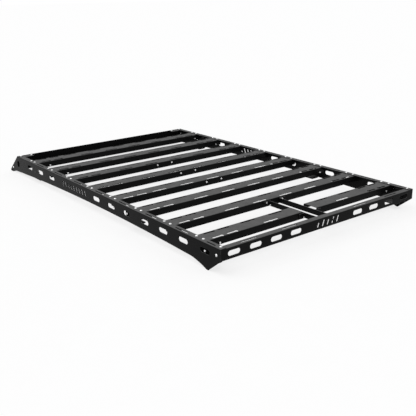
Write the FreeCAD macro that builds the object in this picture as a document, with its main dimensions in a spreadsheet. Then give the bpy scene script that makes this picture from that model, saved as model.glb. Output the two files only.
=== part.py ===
import FreeCAD, Part
import Sketcher
import math
import os

# Flat platform roof rack folded from sheet: two side plates, a rear plate, a raked front fairing,
# eight slotted cross bars (the last one in two halves beside a gap for an aerial), cleats and feet.
# Frame: X to the right, Y to the front, Z up, millimetres; Z = 0 is the plane the rack stands on.

SIZES = [
    ("overall_width", 1350, "outside faces of the side plates"),
    ("overall_height", 125, "standing plane to the top of the rails"),
    ("top_length", 2160, "rear face to the top edge of the fairing"),
    ("nose_reach", 138, "how far the nose stands in front of that edge"),
    ("gauge", 3, "sheet thickness"),
    ("bend_radius", 5, "outside radius of a fold"),
    ("seat_gap", 0.3, "clearance between fitted pieces"),
    ("trim_margin", 20, "blank left around a plate before it is trimmed"),
    ("rail_flange", 33, "width of the rail on top of a side plate"),
    ("rail_slot_length", 100, "slot in the rail between two bars"),
    ("rail_slot_width", 8, "width of the slots in the rails"),
    ("rail_slot_inset", 14, "outside face to the middle of a rail slot"),
    ("rail_end_slot_length", 62, "slot in the rail behind the last bar"),
    ("rail_end_slot_setback", 80, "rear face to the middle of that slot"),
    ("tail_height", 68, "lower edge of the rear face"),
    ("toe_setback", 91, "rear face to the middle of the toe"),
    ("toe_flat", 10, "length of the toe on the standing plane"),
    ("toe_curve", 460, "radius of the lower edge in front of the toe"),
    ("arch_setback", 207, "rear face to the rear end of the long arch"),
    ("arch_tail", 30, "height of the arch at its rear end"),
    ("arch_nose", 11, "height of the arch at the fairing"),
    ("arch_radius", 20800, "radius of the long arch"),
    ("slot_length", 70, "tie-down slot"),
    ("slot_width", 25, "tie-down slot"),
    ("side_slot_height", 86, "middle of the side slots"),
    ("side_slot_pitch", 162, "between side slots"),
    ("tail_slot_setback", 107, "rear face to the first side slot"),
    ("nose_slot_setback", 522, "top edge of the fairing to the rearmost slot of the front run"),
    ("slit_length", 34, "leaning slit"),
    ("slit_width", 8, "leaning slit"),
    ("slit_lean", 20, "degrees from upright"),
    ("slit_pitch", 34, "between leaning slits"),
    ("side_slit_setback", 1347, "rear face to the middle of the side slits"),
    ("rear_slot_height", 94, "middle of the rear slots"),
    ("rear_slot_first", 219, "middle of the rack to the first rear slot"),
    ("rear_slot_pitch", 126, "between rear slots"),
    ("rear_flange", 33, "width of the flange on top of the rear plate"),
    ("rear_return", 48, "end return of the rear plate"),
    ("rear_rail_slot_length", 100, "slot in the rear flange"),
    ("rear_rail_slot_inset", 17, "rear face to the middle of those slots"),
    ("rear_rail_slot_first", 250, "middle of the rack to the first of them"),
    ("rear_rail_slot_pitch", 250, "between them"),
    ("nose_radius", 7, "outside radius of the nose"),
    ("nose_lip", 38, "nose to the rear edge of the bottom lip"),
    ("tab_length", 100, "top tab of the fairing, across the rack"),
    ("tab_width", 38, "top edge to the rear edge of the tab"),
    ("fairing_return", 30, "end return of the fairing, behind the sheet"),
    ("fairing_return_low", 20, "lower end of that return"),
    ("fairing_return_high", 96, "upper end of that return"),
    ("bar_gauge", 2, "sheet thickness of a cross bar"),
    ("bar_width", 90, "cross bar, front to rear"),
    ("bar_depth", 38, "rear wall of a cross bar, with its top"),
    ("bar_front_depth", 27, "front wall of a cross bar, with its top"),
    ("bar_lip", 14, "lip below the rear wall of a cross bar"),
    ("first_bar_setback", 210, "top edge of the fairing to the first bar"),
    ("last_bar_setback", 168.5, "rear face to the last bar"),
    ("key_row", 33, "middle of a bar to a row of keyholes"),
    ("key_slot_length", 94, "keyhole slot"),
    ("key_slot_width", 12, "keyhole slot"),
    ("key_hole", 18, "diameter of the round part of a keyhole"),
    ("end_key_inset", 117, "end of a bar to its outer end keyhole"),
    ("end_key_pitch", 85, "between end keyholes"),
    ("end_key_reach", 50, "slot of an end keyhole, outwards from its hole"),
    ("half_key_first", 164, "middle of the rack to the first keyhole of a half bar"),
    ("half_key_pitch", 180, "between keyholes of a half bar"),
    ("gap_width", 71, "clear gap between the two gap channels"),
    ("gap_clearance", 11, "gap channel to the end of a half bar"),
    ("gap_drop", 7, "top of the bars to the upper edge of the gap channels"),
    ("gap_depth", 27, "gap channel, top to bottom"),
    ("gap_tab", 42, "reach of the tabs of a gap channel"),
    ("gap_hanger", 28, "tab of a gap channel under the rear flange, front to rear"),
    ("cleat_reach", 105, "cleat leg along the bar"),
    ("cleat_leg", 30, "cleat leg along the side plate"),
    ("cleat_depth", 25, "cleat, top to bottom"),
    ("cleat_drop", 7, "top of the bar to the top of its cleat"),
    ("foot_gauge", 5, "plate thickness of a foot"),
    ("foot_length", 90, "foot, front to rear"),
    ("foot_reach", 58, "foot, side plate to its inner edge"),
    ("foot_top", 82, "upper edge of the feet below the bars"),
    ("ear_length", 50, "ear of a foot beside a bar, front to rear"),
    ("ear_top", 104, "upper edge of the ears"),
    ("ear_radius", 10, "upper corners of the ears"),
    ("end_ear_shift", -12, "middle of a front or rear foot to the middle of its ear"),
    ("middle_ear_shift", 24.5, "middle of a middle foot to the middle of its ear"),
    ("foot_hole", 9, "bolt hole through foot and pad"),
    ("foot_hole_inset", 34, "inside of the side plate to that hole"),
    ("pad_thickness", 3, "rubber pad under a foot"),
    ("pad_margin", 3, "edge of a foot to the edge of its pad"),
    ("rear_foot_setback", 107, "rear face to the middle of the rear feet"),
    ("middle_foot_setback", 1.5, "front edge of the sixth bar to the middle of the middle feet"),
    ("front_foot_setback", 280, "top edge of the fairing to the middle of the front feet"),
    ("rear_foot_height", 31, "underside of the rear feet"),
    ("middle_foot_height", 44, "underside of the middle feet"),
    ("front_foot_height", 25, "underside of the front feet"),
]

BAR_COUNT = 8
TAIL_SLOT_COUNT = 7
NOSE_SLOT_COUNT = 3
SIDE_SLIT_COUNT = 9
REAR_SLIT_COUNT = 5
REAR_SLOT_COUNT = 4
REAR_RAIL_SLOT_COUNT = 2
LONG_ROW_COUNT = 5
HALF_ROW_COUNT = 2
END_KEY_COUNT = 2

LEFT, RIGHT = -1, 1
SIDES = (("left", LEFT), ("right", RIGHT))
LEFT_TURN, RIGHT_TURN = 1, -1
FIRST_END, LAST_END, CENTRE = 1, 2, 3

doc = FreeCAD.newDocument("roof_rack")
sheet = doc.addObject("Spreadsheet::Sheet", "Sizes")
for row, (alias, size, note) in enumerate(SIZES, start=1):
    sheet.set(f"A{row}", alias)
    sheet.set(f"B{row}", str(size))
    sheet.setAlias(f"B{row}", alias)
    sheet.set(f"C{row}", note)
doc.recompute()

# Places that several pieces share, as expressions of the driving dimensions.
HALF_WIDTH = "Sizes.overall_width / 2"
TOP = "Sizes.overall_height"
REAR = "(-(Sizes.top_length + Sizes.nose_reach) / 2)"
FRONT_TOP = f"({REAR} + Sizes.top_length)"
NOSE = f"({FRONT_TOP} + Sizes.nose_reach)"
WEB_INSIDE = f"({HALF_WIDTH} - Sizes.gauge - Sizes.seat_gap)"
UNDER_RAIL = f"({TOP} - Sizes.gauge - Sizes.seat_gap)"
UNDER_REAR_FLANGE = f"({UNDER_RAIL} - Sizes.gauge - Sizes.seat_gap)"
FIRST_BAR = f"({FRONT_TOP} - Sizes.first_bar_setback)"
BAR_PITCH = f"((Sizes.top_length - Sizes.first_bar_setback - Sizes.last_bar_setback) / {BAR_COUNT - 1})"
BAR_REAR = "(Sizes.bar_width / 2 + Sizes.seat_gap)"
# The inner end keyhole lies half a pitch outside the last keyhole of the long row.
KEY_PITCH = f"(({WEB_INSIDE} - Sizes.end_key_inset - Sizes.end_key_pitch) / {LONG_ROW_COUNT / 2})"
GAP_TOP = f"({UNDER_RAIL} - Sizes.gap_drop)"
NOSE_RISE = f"({TOP} - Sizes.nose_radius)"
NOSE_RUN = "(Sizes.nose_reach - Sizes.nose_radius)"
# Angle of the raked sheet below level: its face runs from the top edge to a tangent of the nose.
RAKE = (f"(atan2({NOSE_RISE}; {NOSE_RUN})"
        f" - asin(Sizes.nose_radius / sqrt({NOSE_RISE}^2 + {NOSE_RUN}^2)))")


def bar_place(number):
    """Y of the middle of a cross bar, counted from 1 at the front."""
    return f"({FIRST_BAR} - {number - 1} * {BAR_PITCH})"


def behind_fairing(offset, height):
    """Y of the line that lies offset behind the outer face of the raked sheet, at a height."""
    return f"({FRONT_TOP} - ({offset}) / sin({RAKE}) + ({TOP} - ({height})) / tan({RAKE}))"


def value(expression):
    result = sheet.evalExpression(expression)
    return float(getattr(result, "Value", result))


def point(corner):
    return FreeCAD.Vector(value(corner[0]), value(corner[1]), 0)


def ring(centre, radius):
    return Part.Circle(centre, FreeCAD.Vector(0, 0, 1), radius)


def minor_arc(start, finish, radius):
    """Arc that turns left from start to finish, by less than half a turn."""
    chord = finish - start
    left = FreeCAD.Vector(-chord.y, chord.x, 0).normalize()
    centre = start + chord / 2 + left * math.sqrt(radius**2 - (chord.Length / 2) ** 2)
    begin = math.atan2(start.y - centre.y, start.x - centre.x)
    end = math.atan2(finish.y - centre.y, finish.x - centre.x)
    return Part.ArcOfCircle(ring(centre, radius), begin, end if end > begin else end + 2 * math.pi)


def new_body(label):
    body = doc.addObject("PartDesign::Body", label)
    body.Label = label
    return body


def place(body, x="0", y="0", z="0"):
    for axis, expression in zip("xyz", (x, y, z)):
        if expression != "0":
            body.setExpression(f"Placement.Base.{axis}", expression)


def own_plane_or_axis(body, role):
    return [feature for feature in body.Origin.OriginFeatures if feature.Role == role][0]


class Plan:
    """Sketch on one of a body's own planes: curves and sizes are gathered first, then drawn at once."""

    def __init__(self, body, name, plane, offset=None):
        self.sketch = body.newObject("Sketcher::SketchObject", f"{body.Name}_{name}")
        self.sketch.AttachmentSupport = [(own_plane_or_axis(body, plane), "")]
        self.sketch.MapMode = "FlatFace"
        if offset:
            self.sketch.setExpression("AttachmentOffset.Base.z", offset)
        self.curves, self.limits, self.ties = [], [], []

    def add(self, curve):
        self.curves.append(curve)
        return len(self.curves) - 1

    def limit(self, kind, *where):
        self.limits.append(Sketcher.Constraint(kind, *where))

    def size(self, kind, *where_and_expression):
        """A dimension, tied to an expression."""
        *where, expression = where_and_expression
        self.ties.append((len(self.limits), expression))
        self.limit(kind, *where, value(expression))

    def pin(self, curve, end, corner):
        """Hold one point of a curve at a pair of expressions."""
        self.size("DistanceX", -1, 1, curve, end, corner[0])
        self.size("DistanceY", -1, 1, curve, end, corner[1])

    def draw(self):
        self.sketch.addGeometry(self.curves)
        self.sketch.addConstraint(self.limits)
        for index, expression in self.ties:
            self.sketch.setExpression(f"Constraints[{index}]", expression)
        return self.sketch

    def outline(self, corners):
        """Closed outline. A corner is (x, y), or (x, y, radius, turn) where an arc leads to the next."""
        ends = []
        for here, following in zip(corners, corners[1:] + corners[:1]):
            start, finish = point(here), point(following)
            if len(here) == 2:
                ends.append((self.add(Part.LineSegment(start, finish)), FIRST_END, LAST_END))
            elif here[3] == LEFT_TURN:
                ends.append((self.add(minor_arc(start, finish, value(here[2]))), FIRST_END, LAST_END))
            else:
                ends.append((self.add(minor_arc(finish, start, value(here[2]))), LAST_END, FIRST_END))
        for (before, _, last), (after, first, _) in zip(ends, ends[1:] + ends[:1]):
            self.limit("Coincident", before, last, after, first)
        for (curve, first, _), corner in zip(ends, corners):
            self.pin(curve, first, corner)
            if len(corner) > 2:
                self.size("Radius", curve, corner[2])

    def rectangle(self, x_low, y_low, x_high, y_high):
        self.outline([(x_low, y_low), (x_high, y_low), (x_high, y_high), (x_low, y_high)])

    def slot(self, x, y, length, width, lean="0"):
        """Obround slot about (x, y), its long way turned by lean degrees from the first axis."""
        half = f"(({length}) - ({width})) / 2"
        radius, angle = f"({width}) / 2", math.radians(value(lean))
        along = FreeCAD.Vector(math.cos(angle), math.sin(angle), 0)
        across = FreeCAD.Vector(-along.y, along.x, 0) * value(radius)
        chain, centres = [], []
        for way in (1, -1):
            centre = (f"{x} + {way} * {half} * cos({lean} * 1deg)",
                      f"{y} + {way} * {half} * sin({lean} * 1deg)")
            begin = angle - way * math.pi / 2
            end = ring(point(centre), value(radius))
            chain.append(self.add(Part.ArcOfCircle(end, begin, begin + math.pi)))
            self.pin(chain[-1], CENTRE, centre)
            self.size("Radius", chain[-1], radius)
            centres.append(point(centre))
            if way == 1:
                start = centres[0] + across
                chain.append(self.add(Part.LineSegment(start, start - along * (2 * value(half)))))
        chain.append(self.add(Part.LineSegment(centres[1] - across, centres[0] - across)))
        for before, after in zip(chain, chain[1:] + chain[:1]):
            self.limit("Tangent", before, LAST_END, after, FIRST_END)

    def keyhole(self, x, y, hole, width, reach, arms):
        """Round hole with a slot arm along the first axis, to one side (1 or -1) or to both."""
        middle, big, small = point((x, y)), value(hole) / 2, value(width) / 2
        spread = math.asin(small / big)
        chain = []
        for index, way in enumerate(arms):
            tip = (f"{x} + {way} * ({reach})", y)
            facing = 0 if way > 0 else math.pi
            leaving = arms[(index + 1) % len(arms)]
            turn = (0 if leaving > 0 else math.pi) - spread
            along, across = FreeCAD.Vector(way, 0, 0), FreeCAD.Vector(0, way * small, 0)
            root = middle + along * (big * math.cos(spread))
            line_in = self.add(Part.LineSegment(root - across, point(tip) - across))
            half_turn = (facing - math.pi / 2, facing + math.pi / 2)
            end = self.add(Part.ArcOfCircle(ring(point(tip), small), *half_turn))
            line_out = self.add(Part.LineSegment(point(tip) + across, root + across))
            start = facing + spread
            if turn < start:
                turn += 2 * math.pi
            rim = self.add(Part.ArcOfCircle(ring(middle, big), start, turn))
            chain += [line_in, end, line_out, rim]
            self.limit("Tangent", line_in, LAST_END, end, FIRST_END)
            self.limit("Tangent", end, LAST_END, line_out, FIRST_END)
            self.limit("Coincident", line_out, LAST_END, rim, FIRST_END)
            for line in (line_in, line_out):
                self.limit("Horizontal", line)
            for curve, centre, diameter in ((end, tip, width), (rim, (x, y), hole)):
                self.pin(curve, CENTRE, centre)
                self.size("Radius", curve, f"({diameter}) / 2")
        for rim, line_in in zip(chain[3::4], chain[4::4] + chain[:1]):
            self.limit("Coincident", rim, LAST_END, line_in, FIRST_END)

    def circle(self, x, y, diameter):
        curve = self.add(ring(point((x, y)), value(diameter) / 2))
        self.pin(curve, CENTRE, (x, y))
        self.size("Diameter", curve, diameter)

    def folded_strip(self, path, side, gauge="Sizes.gauge", radius="Sizes.bend_radius"):
        """Section of a folded sheet from the corners of its outer face, with square folds.

        The path runs along the axes, and every fold turns to the side that the thickness lies on.
        """
        ways = []
        for start, finish in zip(path, path[1:]):
            step = point(finish) - point(start)
            ways.append((round(step.x / step.Length), round(step.y / step.Length)))
        normals = [(-side * y, side * x) for x, y in ways]

        def moved(corner, *shifts):
            return tuple(
                f"({base})" + "".join(f" + {way[axis]} * ({size})" for way, size in shifts if way[axis])
                for axis, base in enumerate(corner))

        inner_radius = f"({radius} - {gauge})"
        outer, inner = [path[0]], [moved(path[0], (normals[0], gauge))]
        for index in range(1, len(path) - 1):
            way_in, way_out = ways[index - 1], ways[index]
            back = (-way_in[0], -way_in[1])
            outer.append(moved(path[index], (back, radius)) + (radius, side))
            outer.append(moved(path[index], (way_out, radius)))
            inner.append(moved(path[index], (back, radius), (normals[index - 1], gauge)))
            after_fold = moved(path[index], (way_out, radius), (normals[index], gauge))
            inner.append(after_fold + (inner_radius, -side))
        outer.append(path[-1])
        inner.append(moved(path[-1], (normals[-1], gauge)))
        self.outline(outer + inner[::-1])


def pad(body, plan, length, symmetric=False, reverse=False):
    sketch = plan.draw()
    feature = body.newObject("PartDesign::Pad", f"{sketch.Name}_pad")
    feature.Profile = sketch
    feature.setExpression("Length", length)
    feature.SideType = "Symmetric" if symmetric else "One side"
    feature.Reversed = reverse
    doc.recompute()
    return feature


def pocket(body, plan, depth=None):
    """Cut a sketch out of a body: to a depth below its plane, or right through both ways."""
    sketch = plan.draw()
    doc.recompute()
    before = body.Shape.Volume
    feature = body.newObject("PartDesign::Pocket", f"{sketch.Name}_cut")
    feature.Profile = sketch
    if depth:
        feature.Type = "Length"
        feature.setExpression("Length", depth)
    else:
        feature.SideType = "Symmetric"
        feature.Type = "ThroughAll"
    doc.recompute()
    if not body.Shape.Volume < before:
        raise RuntimeError(f"{feature.Name} cuts nothing")
    return feature


def repeat(body, feature, axis, spacing, count, reverse=False):
    """Row of copies of a cut along one of the body's own axes."""
    row = body.newObject("PartDesign::LinearPattern", f"{feature.Name}_row")
    row.Originals = [feature]
    row.Direction = (own_plane_or_axis(body, axis), [""])
    row.Mode = "Spacing"
    row.setExpression("Offset", spacing)
    row.Occurrences = count
    row.Reversed = reverse
    body.Tip = row
    doc.recompute()


def mirror(body, feature):
    """Copy of a cut on the other side of the body's middle plane."""
    copy = body.newObject("PartDesign::Mirrored", f"{feature.Name}_mirror")
    copy.Originals = [feature]
    copy.MirrorPlane = (own_plane_or_axis(body, "YZ_Plane"), [""])
    body.Tip = copy
    doc.recompute()


def slit_row(body, plane, axis, middle, height, count):
    """Row of leaning slits about a middle."""
    slit = Plan(body, "slit", plane)
    slit.slot(f"{middle} - {(count - 1) / 2} * Sizes.slit_pitch", height,
              "Sizes.slit_length", "Sizes.slit_width", "(90 - Sizes.slit_lean)")
    repeat(body, pocket(body, slit), axis, "Sizes.slit_pitch", count)


def side_plate(label, hand):
    body = new_body(label)
    outside = f"{hand} * {HALF_WIDTH}"

    section = Plan(body, "section", "XZ_Plane")
    section.folded_strip([
        (outside, "0"),
        (outside, TOP),
        (f"{hand} * ({HALF_WIDTH} - Sizes.rail_flange)", TOP),
    ], side=hand)
    pad(body, section, "Sizes.top_length + Sizes.nose_reach", symmetric=True)

    blank = Plan(body, "blank", "YZ_Plane")
    blank.rectangle(f"{REAR} - Sizes.trim_margin", "-Sizes.trim_margin",
                    f"{NOSE} + Sizes.trim_margin", f"{TOP} + Sizes.trim_margin")
    toe_rear = f"{REAR} + Sizes.toe_setback - Sizes.toe_flat / 2"
    toe_front = f"{REAR} + Sizes.toe_setback + Sizes.toe_flat / 2"
    behind = "Sizes.gauge + Sizes.seat_gap"
    blank.outline([
        (REAR, "Sizes.tail_height"),
        (toe_rear, "0"),
        (toe_front, "0", "Sizes.toe_curve", RIGHT_TURN),
        (f"{REAR} + Sizes.arch_setback", "Sizes.arch_tail", "Sizes.arch_radius", RIGHT_TURN),
        (behind_fairing(behind, "Sizes.arch_nose"), "Sizes.arch_nose"),
        (behind_fairing(behind, TOP), TOP),
        (REAR, TOP),
    ])
    pocket(body, blank)

    runs = [("tail", f"{REAR} + Sizes.tail_slot_setback", TAIL_SLOT_COUNT),
            ("nose", f"{FRONT_TOP} - Sizes.nose_slot_setback", NOSE_SLOT_COUNT)]
    for name, first, count in runs:
        run = Plan(body, f"{name}_slot", "YZ_Plane")
        run.slot(first, "Sizes.side_slot_height", "Sizes.slot_length", "Sizes.slot_width")
        repeat(body, pocket(body, run), "Y_Axis", "Sizes.side_slot_pitch", count)
    slit_row(body, "YZ_Plane", "Y_Axis", f"{REAR} + Sizes.side_slit_setback", "Sizes.side_slot_height",
             SIDE_SLIT_COUNT)

    middle = f"{hand} * ({HALF_WIDTH} - Sizes.rail_slot_inset)"
    bay_slot = Plan(body, "bay_slot", "XY_Plane", TOP)
    bay_slot.slot(middle, f"{bar_place(BAR_COUNT)} + {BAR_PITCH} / 2",
                  "Sizes.rail_slot_length", "Sizes.rail_slot_width", "90")
    repeat(body, pocket(body, bay_slot, "2 * Sizes.gauge"), "Y_Axis", BAR_PITCH, BAR_COUNT - 1)
    end_slot = Plan(body, "end_slot", "XY_Plane", TOP)
    end_slot.slot(middle, f"{REAR} + Sizes.rail_end_slot_setback",
                  "Sizes.rail_end_slot_length", "Sizes.rail_slot_width", "90")
    pocket(body, end_slot, "2 * Sizes.gauge")
    return body


def rear_plate(label):
    body = new_body(label)
    section = Plan(body, "section", "YZ_Plane")
    section.folded_strip([
        (REAR, "Sizes.tail_height"),
        (REAR, UNDER_RAIL),
        (f"{REAR} + Sizes.rear_flange", UNDER_RAIL),
    ], side=-1)
    pad(body, section, f"2 * {WEB_INSIDE}", symmetric=True)

    for name, hand in SIDES:
        end = Plan(body, f"{name}_return", "YZ_Plane", f"{hand} * {WEB_INSIDE}")
        end.rectangle(f"{REAR} + Sizes.gauge / 2", "Sizes.tail_height",
                      f"{REAR} + Sizes.rear_return", UNDER_REAR_FLANGE)
        pad(body, end, "Sizes.gauge", reverse=hand == RIGHT)

    for name, hand in SIDES:
        face = Plan(body, f"{name}_slot", "XZ_Plane")
        face.slot(f"{hand} * Sizes.rear_slot_first", "Sizes.rear_slot_height",
                  "Sizes.slot_length", "Sizes.slot_width")
        repeat(body, pocket(body, face), "X_Axis", "Sizes.rear_slot_pitch", REAR_SLOT_COUNT, hand == LEFT)
        flange = Plan(body, f"{name}_flange_slot", "XY_Plane", UNDER_RAIL)
        flange.slot(f"{hand} * Sizes.rear_rail_slot_first", f"{REAR} + Sizes.rear_rail_slot_inset",
                    "Sizes.rear_rail_slot_length", "Sizes.rail_slot_width")
        repeat(body, pocket(body, flange, "2 * Sizes.gauge"), "X_Axis", "Sizes.rear_rail_slot_pitch",
               REAR_RAIL_SLOT_COUNT, hand == LEFT)
    slit_row(body, "XZ_Plane", "X_Axis", "0", "Sizes.rear_slot_height", REAR_SLIT_COUNT)
    return body


def front_fairing(label):
    body = new_body(label)
    section = Plan(body, "section", "YZ_Plane")
    centre = (f"{NOSE} - Sizes.nose_radius", "Sizes.nose_radius")
    inner_radius = "(Sizes.nose_radius - Sizes.gauge)"

    def on_nose(radius):
        return (f"{centre[0]} + {radius} * sin({RAKE})", f"{centre[1]} + {radius} * cos({RAKE})")

    lip_end = f"{NOSE} - Sizes.nose_lip"
    section.outline([
        (lip_end, "0"),
        (centre[0], "0", "Sizes.nose_radius", LEFT_TURN),
        on_nose("Sizes.nose_radius"),
        (FRONT_TOP, TOP),
        (behind_fairing("Sizes.gauge", TOP), TOP),
        on_nose(inner_radius) + (inner_radius, RIGHT_TURN),
        (centre[0], "Sizes.gauge"),
        (lip_end, "Sizes.gauge"),
    ])
    pad(body, section, "Sizes.overall_width", symmetric=True)

    tabs = Plan(body, "tabs", "XY_Plane", UNDER_RAIL)
    for hand in (LEFT, RIGHT):
        ends = [f"{hand} * ({WEB_INSIDE} - Sizes.tab_length)", f"{hand} * {WEB_INSIDE}"]
        inboard, outboard = ends if hand == RIGHT else ends[::-1]
        tabs.rectangle(inboard, f"{FRONT_TOP} - Sizes.tab_width", outboard, FRONT_TOP)
    pad(body, tabs, "Sizes.gauge", reverse=True)

    for name, hand in SIDES:
        end = Plan(body, f"{name}_return", "YZ_Plane", f"{hand} * {WEB_INSIDE}")
        low, high = "Sizes.fairing_return_low", "Sizes.fairing_return_high"
        deep = "Sizes.fairing_return"
        end.outline([
            (behind_fairing(deep, low), low),
            (behind_fairing("Sizes.gauge / 2", low), low),
            (behind_fairing("Sizes.gauge / 2", high), high),
            (behind_fairing(deep, high), high),
        ])
        pad(body, end, "Sizes.gauge", reverse=hand == RIGHT)
    return body


def bar_section(plan):
    """Inverted channel whose front wall is shorter and whose rear wall has an inward lip."""
    side, low = "Sizes.bar_width / 2", f"{UNDER_RAIL} - Sizes.bar_depth"
    plan.folded_strip([
        (f"-{side} + Sizes.bar_lip", low),
        (f"-{side}", low),
        (f"-{side}", UNDER_RAIL),
        (side, UNDER_RAIL),
        (side, f"{UNDER_RAIL} - Sizes.bar_front_depth"),
    ], side=-1, gauge="Sizes.bar_gauge")


def keyhole_row(body, name, first, line, pitch, count, reverse=False):
    """Row of two-armed keyholes in the top of a bar."""
    plan = Plan(body, name, "XY_Plane", UNDER_RAIL)
    plan.keyhole(first, line, "Sizes.key_hole", "Sizes.key_slot_width",
                 "(Sizes.key_slot_length - Sizes.key_slot_width) / 2", (1, -1))
    cut = pocket(body, plan, "2 * Sizes.bar_gauge")
    if count > 1:
        repeat(body, cut, "X_Axis", pitch, count, reverse)


def end_keyholes(body, hand):
    """One-armed keyholes at one end of a bar, in both rows, with the arms outwards."""
    plan = Plan(body, "end_keys", "XY_Plane", UNDER_RAIL)
    for row in ("Sizes.key_row", "-Sizes.key_row"):
        for index in range(END_KEY_COUNT):
            inset = f"Sizes.end_key_inset + {index} * Sizes.end_key_pitch"
            plan.keyhole(f"{hand} * ({WEB_INSIDE} - ({inset}))", row,
                         "Sizes.key_hole", "Sizes.key_slot_width", "Sizes.end_key_reach", (hand,))
    return pocket(body, plan, "2 * Sizes.bar_gauge")


def cross_bar(label, number, turned=False):
    """Whole bar: staggered keyhole rows, the longer one in front unless the bar is turned round."""
    body = new_body(label)
    section = Plan(body, "section", "YZ_Plane")
    bar_section(section)
    pad(body, section, f"2 * {WEB_INSIDE}", symmetric=True)
    way = -1 if turned else 1
    for name, line, count in (("long_row", way, LONG_ROW_COUNT), ("short_row", -way, LONG_ROW_COUNT - 1)):
        keyhole_row(body, name, f"-{(count - 1) / 2} * {KEY_PITCH}", f"{line} * Sizes.key_row",
                    KEY_PITCH, count)
    mirror(body, end_keyholes(body, RIGHT))
    place(body, y=bar_place(number))
    return body


def half_bar(label, number, hand):
    """The part of a bar on one side of the gap, with its own shorter keyhole rows."""
    body = new_body(label)
    inner_end = "(Sizes.gap_width / 2 + Sizes.gauge + Sizes.gap_clearance)"
    section = Plan(body, "section", "YZ_Plane", f"{hand} * {inner_end}")
    bar_section(section)
    pad(body, section, f"{WEB_INSIDE} - {inner_end}", reverse=hand == LEFT)
    for name, line, count in (("long_row", 1, HALF_ROW_COUNT), ("short_row", -1, HALF_ROW_COUNT - 1)):
        first = f"{hand} * (Sizes.half_key_first + {(HALF_ROW_COUNT - count) / 2} * Sizes.half_key_pitch)"
        keyhole_row(body, name, first, f"{line} * Sizes.key_row", "Sizes.half_key_pitch", count,
                    reverse=hand == LEFT)
    end_keyholes(body, hand)
    place(body, y=bar_place(number))
    return body


def gap_channel(label, hand):
    """Upright strip along the gap, with tabs on the last whole bar, the half bar and the rear flange."""
    body = new_body(label)
    tab = f"{hand} * Sizes.gap_tab"
    front = f"({bar_place(BAR_COUNT - 1)} - {BAR_REAR})"
    rear = f"({REAR} + Sizes.gauge + Sizes.seat_gap)"
    strip = Plan(body, "strip", "XY_Plane", GAP_TOP)
    strip.folded_strip([(tab, front), ("0", front), ("0", rear)], side=hand)
    pad(body, strip, "Sizes.gap_depth", reverse=True)

    half_bar_rear = f"({bar_place(BAR_COUNT)} - {BAR_REAR})"
    ends = [f"{hand} * Sizes.gauge / 2", tab]
    low, high = ends if hand == RIGHT else ends[::-1]
    middle_tab = Plan(body, "middle_tab", "XY_Plane", GAP_TOP)
    middle_tab.rectangle(low, f"{half_bar_rear} - Sizes.gauge", high, half_bar_rear)
    pad(body, middle_tab, "Sizes.gap_depth", reverse=True)

    hanger = Plan(body, "hanger", "XZ_Plane", f"-({rear} + Sizes.gap_hanger)")
    hanger.folded_strip([
        ("0", f"{GAP_TOP} - Sizes.gauge"),
        ("0", UNDER_REAR_FLANGE),
        (tab, UNDER_REAR_FLANGE),
    ], side=-hand)
    pad(body, hanger, "Sizes.gap_hanger")
    place(body, x=f"{hand} * Sizes.gap_width / 2")
    return body


def bar_cleat(label, hand, number):
    """Folded angle inside the end of a bar, between its rear wall and a side plate."""
    body = new_body(label)
    section = Plan(body, "section", "XY_Plane")
    section.folded_strip([
        (f"{-hand} * Sizes.cleat_reach", "0"),
        ("0", "0"),
        ("0", "Sizes.cleat_leg"),
    ], side=hand)
    pad(body, section, "Sizes.cleat_depth", reverse=True)
    inside_rear_wall = f"{bar_place(number)} - Sizes.bar_width / 2 + Sizes.bar_gauge + Sizes.seat_gap"
    place(body, f"{hand} * {WEB_INSIDE}", inside_rear_wall, f"{UNDER_RAIL} - Sizes.cleat_drop")
    return body


def foot(label, hand, middle, height, ear_shift):
    """Folded foot: an upright with an ear against the side plate, and a base with a bolt hole."""
    body = new_body(label)
    section = Plan(body, "section", "XZ_Plane")
    section.folded_strip([
        ("0", f"Sizes.foot_top - {height}"),
        ("0", "0"),
        (f"{-hand} * Sizes.foot_reach", "0"),
    ], side=-hand, gauge="Sizes.foot_gauge", radius="(Sizes.bend_radius + Sizes.foot_gauge)")
    pad(body, section, "Sizes.foot_length", symmetric=True)

    ear = Plan(body, "ear", "YZ_Plane")
    rear, front = f"({ear_shift} - Sizes.ear_length / 2)", f"({ear_shift} + Sizes.ear_length / 2)"
    root, top = f"(Sizes.foot_top - {height} - Sizes.foot_gauge)", f"(Sizes.ear_top - {height})"
    radius = "Sizes.ear_radius"
    ear.outline([
        (rear, root),
        (front, root),
        (front, f"{top} - {radius}", radius, LEFT_TURN),
        (f"{front} - {radius}", top),
        (f"{rear} + {radius}", top, radius, LEFT_TURN),
        (rear, f"{top} - {radius}"),
    ])
    pad(body, ear, "Sizes.foot_gauge", reverse=hand == RIGHT)

    hole = Plan(body, "hole", "XY_Plane", "Sizes.foot_gauge")
    hole.circle(f"{-hand} * Sizes.foot_hole_inset", "0", "Sizes.foot_hole")
    pocket(body, hole, "2 * Sizes.foot_gauge")
    place(body, f"{hand} * {WEB_INSIDE}", middle, height)
    return body


def foot_pad(label, hand, middle, height):
    """Rubber pad under the base of a foot, with the same hole."""
    body = new_body(label)
    sketch = Plan(body, "sheet", "XY_Plane")
    reach = ["Sizes.pad_margin + Sizes.bend_radius", "Sizes.foot_reach - Sizes.pad_margin"]
    near, far = [f"{-hand} * ({size})" for size in reach]
    low, high = (far, near) if hand == RIGHT else (near, far)
    half = "(Sizes.foot_length / 2 - Sizes.pad_margin)"
    sketch.rectangle(low, f"-{half}", high, half)
    sketch.circle(f"{-hand} * Sizes.foot_hole_inset", "0", "Sizes.foot_hole")
    pad(body, sketch, "Sizes.pad_thickness", reverse=True)
    place(body, f"{hand} * {WEB_INSIDE}", middle, height)
    return body


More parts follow.
